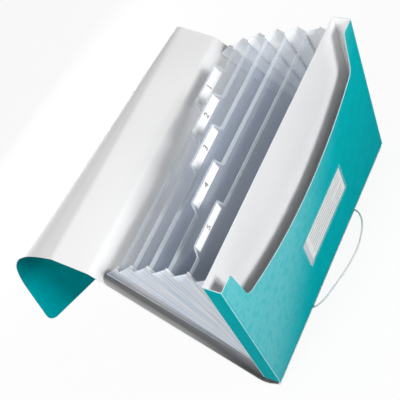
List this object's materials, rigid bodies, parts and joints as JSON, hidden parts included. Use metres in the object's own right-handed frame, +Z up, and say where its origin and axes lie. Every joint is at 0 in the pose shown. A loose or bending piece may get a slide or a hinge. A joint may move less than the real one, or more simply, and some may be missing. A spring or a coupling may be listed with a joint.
{
  "type": "accordion file folder",
  "caption": "Expanding A4 file folder in sheet plastic with pleated ends, tabbed dividers, a front pocket with a label sleeve, a fold-over flap and an elastic cord.",
  "frame": {"origin": "on the floor, under the middle of the base strip", "axes": "+X along the folder to the right seen from the front, -Y to the front, +Z up"},
  "size_m": [0.3533, 0.3801, 0.2878],
  "materials": {
    "teal_sheet": "teal polypropylene sheet, fine embossed grain, white on its inner side",
    "white_sheet": "white polypropylene sheet",
    "clear_sheet": "clear polypropylene sheet, slightly blue",
    "pleat_film": "milky polypropylene film",
    "paper": "uncoated white paper",
    "elastic": "woven elastic cord"
  },
  "bodies": {
    "back": {"cover_back": "teal_sheet", "cover_heel": "teal_sheet", "cover_base": "teal_sheet", "spine_strip": "white_sheet", "elastic_cord": "elastic", "elastic_crimp_left": "white_sheet", "elastic_crimp_right": "white_sheet"},
    "front": {"front_panel": "white_sheet", "pocket_floor": "teal_sheet", "pocket_end_left": "teal_sheet", "pocket_end_right": "teal_sheet", "pocket_face": "teal_sheet", "label_sleeve": "clear_sheet"},
    "label": {"label_card": "paper"},
    "divider_1": {"divider_1": "clear_sheet", "tab_label_1": "paper"},
    "divider_2": {"divider_2": "clear_sheet", "tab_label_2": "paper"},
    "divider_3": {"divider_3": "clear_sheet", "tab_label_3": "paper"},
    "divider_4": {"divider_4": "clear_sheet", "tab_label_4": "paper"},
    "divider_5": {"divider_5": "clear_sheet", "tab_label_5": "paper"},
    "pleat_left_1a": {"pleat_left_1a": "pleat_film"},
    "pleat_left_1b": {"pleat_left_1b": "pleat_film"},
    "pleat_left_2a": {"pleat_left_2a": "pleat_film"},
    "pleat_left_2b": {"pleat_left_2b": "pleat_film"},
    "pleat_left_3a": {"pleat_left_3a": "pleat_film"},
    "pleat_left_3b": {"pleat_left_3b": "pleat_film"},
    "pleat_left_4a": {"pleat_left_4a": "pleat_film"},
    "pleat_left_4b": {"pleat_left_4b": "pleat_film"},
    "pleat_left_5a": {"pleat_left_5a": "pleat_film"},
    "pleat_left_5b": {"pleat_left_5b": "pleat_film"},
    "pleat_left_6a": {"pleat_left_6a": "pleat_film"},
    "pleat_left_6b": {"pleat_left_6b": "pleat_film"},
    "pleat_right_1a": {"pleat_right_1a": "pleat_film"},
    "pleat_right_1b": {"pleat_right_1b": "pleat_film"},
    "pleat_right_2a": {"pleat_right_2a": "pleat_film"},
    "pleat_right_2b": {"pleat_right_2b": "pleat_film"},
    "pleat_right_3a": {"pleat_right_3a": "pleat_film"},
    "pleat_right_3b": {"pleat_right_3b": "pleat_film"},
    "pleat_right_4a": {"pleat_right_4a": "pleat_film"},
    "pleat_right_4b": {"pleat_right_4b": "pleat_film"},
    "pleat_right_5a": {"pleat_right_5a": "pleat_film"},
    "pleat_right_5b": {"pleat_right_5b": "pleat_film"},
    "pleat_right_6a": {"pleat_right_6a": "pleat_film"},
    "pleat_right_6b": {"pleat_right_6b": "pleat_film"},
    "flap_top": {"flap_top": "teal_sheet"},
    "flap_bend_1": {"flap_bend_1": "teal_sheet"},
    "flap_bend_2": {"flap_bend_2": "teal_sheet"},
    "flap_front": {"flap_front": "teal_sheet"}
  },
  "joints": [
    {"name": "accordion", "type": "hinge", "parent": "back", "child": "front", "pos_m": [0, 0.002, 0.017], "axis": [-1, 0, 0], "range_deg": [0, 43.3]},
    {"name": "divider_1_hinge", "type": "hinge", "parent": "back", "child": "divider_1", "pos_m": [0, 0.017, 0.012], "axis": [-1, 0, 0], "range_deg": [0, 7.23]},
    {"name": "divider_2_hinge", "type": "hinge", "parent": "back", "child": "divider_2", "pos_m": [0, 0.014, 0.013], "axis": [-1, 0, 0], "range_deg": [0, 14.45]},
    {"name": "divider_3_hinge", "type": "hinge", "parent": "back", "child": "divider_3", "pos_m": [0, 0.011, 0.014], "axis": [-1, 0, 0], "range_deg": [0, 21.67]},
    {"name": "divider_4_hinge", "type": "hinge", "parent": "back", "child": "divider_4", "pos_m": [0, 0.008, 0.015], "axis": [-1, 0, 0], "range_deg": [0, 28.89]},
    {"name": "divider_5_hinge", "type": "hinge", "parent": "back", "child": "divider_5", "pos_m": [0, 0.005, 0.016], "axis": [-1, 0, 0], "range_deg": [0, 36.11]},
    {"name": "pleat_left_1a_fold", "type": "hinge", "parent": "back", "child": "pleat_left_1a", "pos_m": [-0.1514, 0.01975, 0.01103], "axis": [0, -0.1045, -0.9945], "range_deg": [0, 64.24]},
    {"name": "pleat_left_1b_fold", "type": "hinge", "parent": "divider_1", "child": "pleat_left_1b", "pos_m": [-0.1514, 0.01725, 0.012], "axis": [0, -0.0145, 0.9999], "range_deg": [0, 64.24]},
    {"name": "pleat_left_2a_fold", "type": "hinge", "parent": "divider_1", "child": "pleat_left_2a", "pos_m": [-0.1514, 0.01675, 0.012], "axis": [0, 0.0145, -0.9999], "range_deg": [0, 64.24]},
    {"name": "pleat_left_2b_fold", "type": "hinge", "parent": "divider_2", "child": "pleat_left_2b", "pos_m": [-0.1514, 0.01425, 0.01303], "axis": [0, -0.1334, 0.9911], "range_deg": [0, 64.24]},
    {"name": "pleat_left_3a_fold", "type": "hinge", "parent": "divider_2", "child": "pleat_left_3a", "pos_m": [-0.1514, 0.01375, 0.01297], "axis": [0, 0.1334, -0.9911], "range_deg": [0, 64.24]},
    {"name": "pleat_left_3b_fold", "type": "hinge", "parent": "divider_3", "child": "pleat_left_3b", "pos_m": [-0.1514, 0.01124, 0.01406], "axis": [0, -0.2504, 0.9681], "range_deg": [0, 64.24]},
    {"name": "pleat_left_4a_fold", "type": "hinge", "parent": "divider_3", "child": "pleat_left_4a", "pos_m": [-0.1514, 0.01076, 0.01394], "axis": [0, 0.2504, -0.9681], "range_deg": [0, 64.24]},
    {"name": "pleat_left_4b_fold", "type": "hinge", "parent": "divider_4", "child": "pleat_left_4b", "pos_m": [-0.1514, 0.00823, 0.01509], "axis": [0, -0.3638, 0.9315], "range_deg": [0, 64.24]},
    {"name": "pleat_left_5a_fold", "type": "hinge", "parent": "divider_4", "child": "pleat_left_5a", "pos_m": [-0.1514, 0.00777, 0.01491], "axis": [0, 0.3638, -0.9315], "range_deg": [0, 64.24]},
    {"name": "pleat_left_5b_fold", "type": "hinge", "parent": "divider_5", "child": "pleat_left_5b", "pos_m": [-0.1514, 0.00522, 0.01612], "axis": [0, -0.472, 0.8816], "range_deg": [0, 64.24]},
    {"name": "pleat_left_6a_fold", "type": "hinge", "parent": "divider_5", "child": "pleat_left_6a", "pos_m": [-0.1514, 0.00478, 0.01588], "axis": [0, 0.472, -0.8816], "range_deg": [0, 64.24]},
    {"name": "pleat_left_6b_fold", "type": "hinge", "parent": "front", "child": "pleat_left_6b", "pos_m": [-0.1514, 0.0022, 0.01714], "axis": [0, -0.5736, 0.8192], "range_deg": [0, 64.24]},
    {"name": "pleat_right_1a_fold", "type": "hinge", "parent": "back", "child": "pleat_right_1a", "pos_m": [0.1514, 0.01975, 0.01103], "axis": [0, 0.1045, 0.9945], "range_deg": [0, 64.24]},
    {"name": "pleat_right_1b_fold", "type": "hinge", "parent": "divider_1", "child": "pleat_right_1b", "pos_m": [0.1514, 0.01725, 0.012], "axis": [0, 0.0145, -0.9999], "range_deg": [0, 64.24]},
    {"name": "pleat_right_2a_fold", "type": "hinge", "parent": "divider_1", "child": "pleat_right_2a", "pos_m": [0.1514, 0.01675, 0.012], "axis": [0, -0.0145, 0.9999], "range_deg": [0, 64.24]},
    {"name": "pleat_right_2b_fold", "type": "hinge", "parent": "divider_2", "child": "pleat_right_2b", "pos_m": [0.1514, 0.01425, 0.01303], "axis": [0, 0.1334, -0.9911], "range_deg": [0, 64.24]},
    {"name": "pleat_right_3a_fold", "type": "hinge", "parent": "divider_2", "child": "pleat_right_3a", "pos_m": [0.1514, 0.01375, 0.01297], "axis": [0, -0.1334, 0.9911], "range_deg": [0, 64.24]},
    {"name": "pleat_right_3b_fold", "type": "hinge", "parent": "divider_3", "child": "pleat_right_3b", "pos_m": [0.1514, 0.01124, 0.01406], "axis": [0, 0.2504, -0.9681], "range_deg": [0, 64.24]},
    {"name": "pleat_right_4a_fold", "type": "hinge", "parent": "divider_3", "child": "pleat_right_4a", "pos_m": [0.1514, 0.01076, 0.01394], "axis": [0, -0.2504, 0.9681], "range_deg": [0, 64.24]},
    {"name": "pleat_right_4b_fold", "type": "hinge", "parent": "divider_4", "child": "pleat_right_4b", "pos_m": [0.1514, 0.00823, 0.01509], "axis": [0, 0.3638, -0.9315], "range_deg": [0, 64.24]},
    {"name": "pleat_right_5a_fold", "type": "hinge", "parent": "divider_4", "child": "pleat_right_5a", "pos_m": [0.1514, 0.00777, 0.01491], "axis": [0, -0.3638, 0.9315], "range_deg": [0, 64.24]},
    {"name": "pleat_right_5b_fold", "type": "hinge", "parent": "divider_5", "child": "pleat_right_5b", "pos_m": [0.1514, 0.00522, 0.01612], "axis": [0, 0.472, -0.8816], "range_deg": [0, 64.24]},
    {"name": "pleat_right_6a_fold", "type": "hinge", "parent": "divider_5", "child": "pleat_right_6a", "pos_m": [0.1514, 0.00478, 0.01588], "axis": [0, -0.472, 0.8816], "range_deg": [0, 64.24]},
    {"name": "pleat_right_6b_fold", "type": "hinge", "parent": "front", "child": "pleat_right_6b", "pos_m": [0.1514, 0.0022, 0.01714], "axis": [0, 0.5736, -0.8192], "range_deg": [0, 64.24]},
    {"name": "flap_hinge", "type": "hinge", "parent": "back", "child": "flap_top", "pos_m": [0, 0.04486, 0.24368], "axis": [1, 0, 0], "range_deg": [0, 117.07]},
    {"name": "flap_crease", "type": "hinge", "parent": "flap_top", "child": "flap_bend_1", "pos_m": [-0.165, 0.07623, 0.27732], "axis": [1, 0, 0], "range_deg": [0, 136.41]},
    {"name": "flap_bend_2_fold", "type": "hinge", "parent": "flap_bend_1", "child": "flap_bend_2", "pos_m": [-0.16816, 0.14246, 0.28741], "axis": [0.9837, -0.1779, -0.0271], "range_deg": [0, 38.36]},
    {"name": "flap_front_fold", "type": "hinge", "parent": "flap_bend_2", "child": "flap_front", "pos_m": [-0.17386, 0.20111, 0.25536], "axis": [0.9467, -0.3174, 0.0556], "range_deg": [0, 38.36]},
    {"name": "label_slide", "type": "slide", "parent": "front", "child": "label", "axis": [-1, 0, 0], "range_m": [0, 0.105]}
  ],
  "couplings": [
    {"joint": "divider_1_hinge", "follows": "accordion", "ratio": 0.16667},
    {"joint": "divider_2_hinge", "follows": "accordion", "ratio": 0.33333},
    {"joint": "divider_3_hinge", "follows": "accordion", "ratio": 0.5},
    {"joint": "divider_4_hinge", "follows": "accordion", "ratio": 0.66667},
    {"joint": "divider_5_hinge", "follows": "accordion", "ratio": 0.83333},
    {"joint": "pleat_left_1a_fold", "follows": "accordion", "ratio": 1.4827},
    {"joint": "pleat_left_1b_fold", "follows": "accordion", "ratio": 1.4827},
    {"joint": "pleat_left_2a_fold", "follows": "accordion", "ratio": 1.4827},
    {"joint": "pleat_left_2b_fold", "follows": "accordion", "ratio": 1.4827},
    {"joint": "pleat_left_3a_fold", "follows": "accordion", "ratio": 1.4827},
    {"joint": "pleat_left_3b_fold", "follows": "accordion", "ratio": 1.4827},
    {"joint": "pleat_left_4a_fold", "follows": "accordion", "ratio": 1.4827},
    {"joint": "pleat_left_4b_fold", "follows": "accordion", "ratio": 1.4827},
    {"joint": "pleat_left_5a_fold", "follows": "accordion", "ratio": 1.4827},
    {"joint": "pleat_left_5b_fold", "follows": "accordion", "ratio": 1.4827},
    {"joint": "pleat_left_6a_fold", "follows": "accordion", "ratio": 1.4827},
    {"joint": "pleat_left_6b_fold", "follows": "accordion", "ratio": 1.4827},
    {"joint": "pleat_right_1a_fold", "follows": "accordion", "ratio": 1.4827},
    {"joint": "pleat_right_1b_fold", "follows": "accordion", "ratio": 1.4827},
    {"joint": "pleat_right_2a_fold", "follows": "accordion", "ratio": 1.4827},
    {"joint": "pleat_right_2b_fold", "follows": "accordion", "ratio": 1.4827},
    {"joint": "pleat_right_3a_fold", "follows": "accordion", "ratio": 1.4827},
    {"joint": "pleat_right_3b_fold", "follows": "accordion", "ratio": 1.4827},
    {"joint": "pleat_right_4a_fold", "follows": "accordion", "ratio": 1.4827},
    {"joint": "pleat_right_4b_fold", "follows": "accordion", "ratio": 1.4827},
    {"joint": "pleat_right_5a_fold", "follows": "accordion", "ratio": 1.4827},
    {"joint": "pleat_right_5b_fold", "follows": "accordion", "ratio": 1.4827},
    {"joint": "pleat_right_6a_fold", "follows": "accordion", "ratio": 1.4827},
    {"joint": "pleat_right_6b_fold", "follows": "accordion", "ratio": 1.4827},
    {"joint": "flap_hinge", "follows": "accordion", "ratio": 2.7021},
    {"joint": "flap_crease", "follows": "accordion", "ratio": 3.1486},
    {"joint": "flap_bend_2_fold", "follows": "accordion", "ratio": 0.8853},
    {"joint": "flap_front_fold", "follows": "accordion", "ratio": 0.8853}
  ]
}
